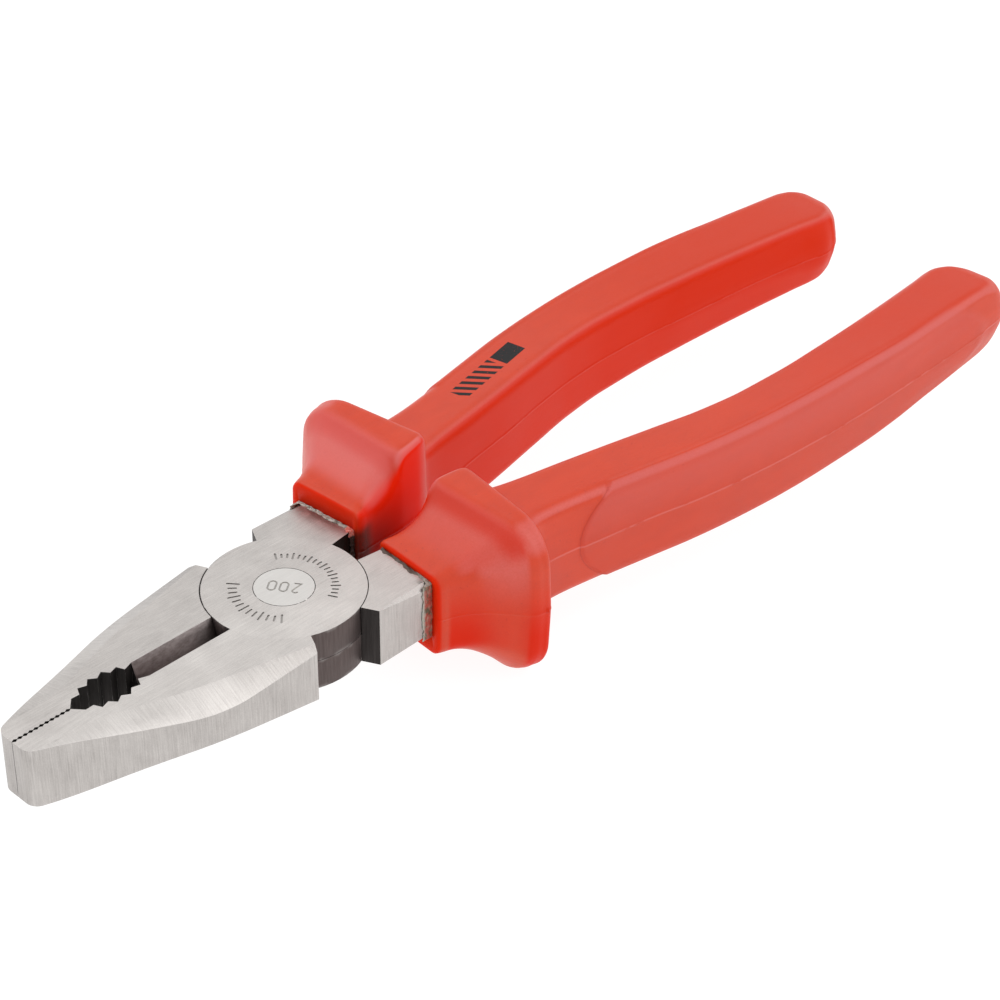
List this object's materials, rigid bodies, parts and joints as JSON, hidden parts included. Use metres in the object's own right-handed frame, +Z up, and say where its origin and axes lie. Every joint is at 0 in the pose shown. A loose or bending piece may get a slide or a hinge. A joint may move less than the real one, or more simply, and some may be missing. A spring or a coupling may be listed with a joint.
{
  "type": "combination pliers",
  "caption": "Lap-joint combination pliers with pipe grip, side cutter, flush rivet and flared moulded red grips, jaws closed.",
  "frame": {"origin": "centre of the pivot rivet's lower flush face, on the pivot axis", "axes": "+X from the pivot to the nose in the plane the closed jaws meet in, +Z up along the pivot axis, towards the stamped side"},
  "size_m": [0.2068, 0.057, 0.0312],
  "materials": {
    "forged_steel": "ground and brushed satin, oxide-dark in the lap joint",
    "rivet_steel": "ground flush, finely brushed",
    "red_grip": "moulded soft vinyl, semi-matte with a fine grain",
    "adhesive": "dull, slightly translucent squeeze-out"
  },
  "bodies": {
    "upper_half": {"forged_half_upper": "forged_steel", "pivot_rivet": "rivet_steel", "grip_upper_half": "red_grip", "mouth_adhesive_upper_half": "adhesive"},
    "lower_half": {"forged_half_lower": "forged_steel", "grip_lower_half": "red_grip", "mouth_adhesive_lower_half": "adhesive"}
  },
  "joints": [
    {"name": "jaw_hinge", "type": "hinge", "parent": "upper_half", "child": "lower_half", "pos_m": [0, 0, 0.0053], "axis": [0, 0, -1], "range_deg": [0, 42]}
  ]
}
